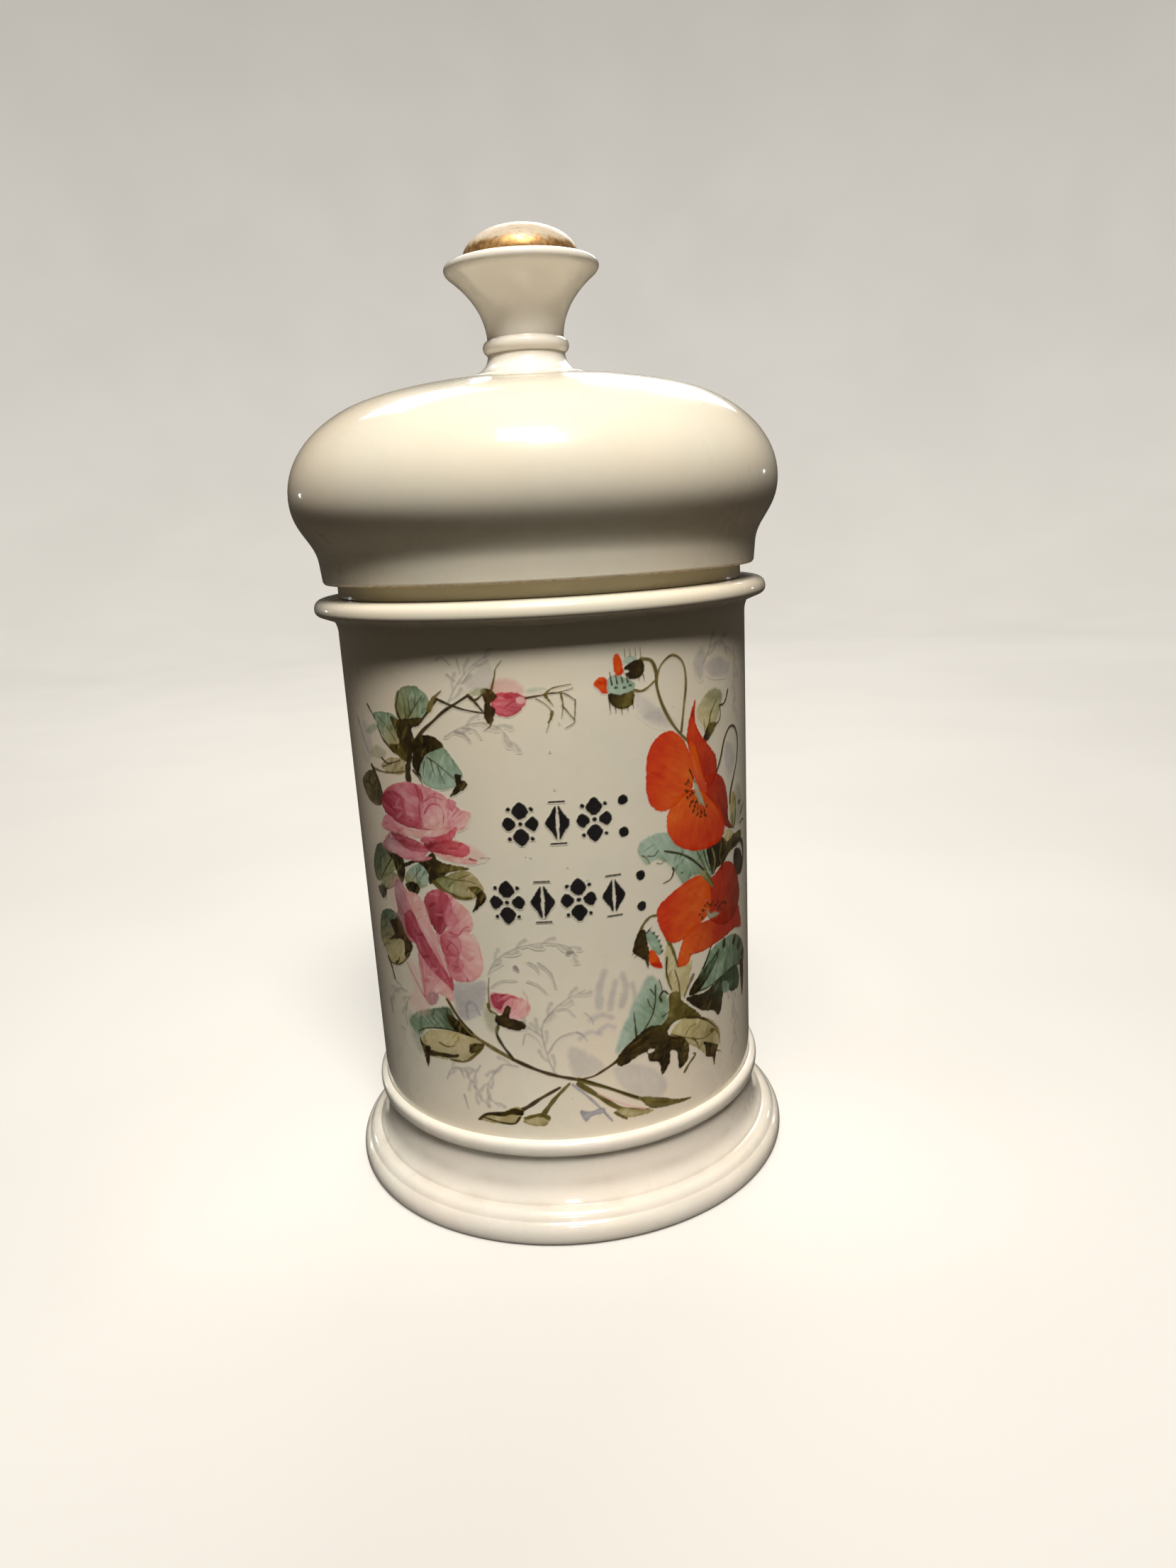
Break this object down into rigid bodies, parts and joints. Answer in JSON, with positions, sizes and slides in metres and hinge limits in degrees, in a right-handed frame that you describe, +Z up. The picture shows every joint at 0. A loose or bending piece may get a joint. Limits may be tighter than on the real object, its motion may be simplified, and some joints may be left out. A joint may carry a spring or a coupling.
{
  "type": "apothecary jar",
  "caption": "Cylindrical porcelain apothecary jar on a moulded foot, with a domed lift-off lid, turned knob and gilt boss, for holding ointments or dry drugs.",
  "frame": {"origin": "centre of the foot's flat contact face, on the surface that the jar stands on", "axes": "+Z up along the axis that every piece is turned about; -Y faces the painted front"},
  "size_m": [0.1348, 0.1348, 0.2644],
  "materials": {
    "jar_porcelain": "clear gloss glaze over warm white porcelain, with a painted wreath",
    "foot_porcelain": "clear gloss glaze, with a bare tan edge underneath",
    "lid_porcelain": "clear gloss glaze, with a bare bottom edge",
    "lid_flange_porcelain": "unglazed, ground to fit the mouth",
    "knob_porcelain": "clear gloss glaze",
    "worn_gilding": "rubbed gilding over porcelain, bare on top"
  },
  "bodies": {
    "jar": {"jar_barrel": "jar_porcelain", "foot_ring": "foot_porcelain"},
    "lid": {"lid_dome": "lid_porcelain", "lid_flange": "lid_flange_porcelain", "knob": "knob_porcelain", "gilt_boss": "worn_gilding"}
  },
  "joints": [
    {"name": "lid_lift", "type": "slide", "parent": "jar", "child": "lid", "axis": [0, 0, 1], "range_m": [0, 0.1]}
  ]
}
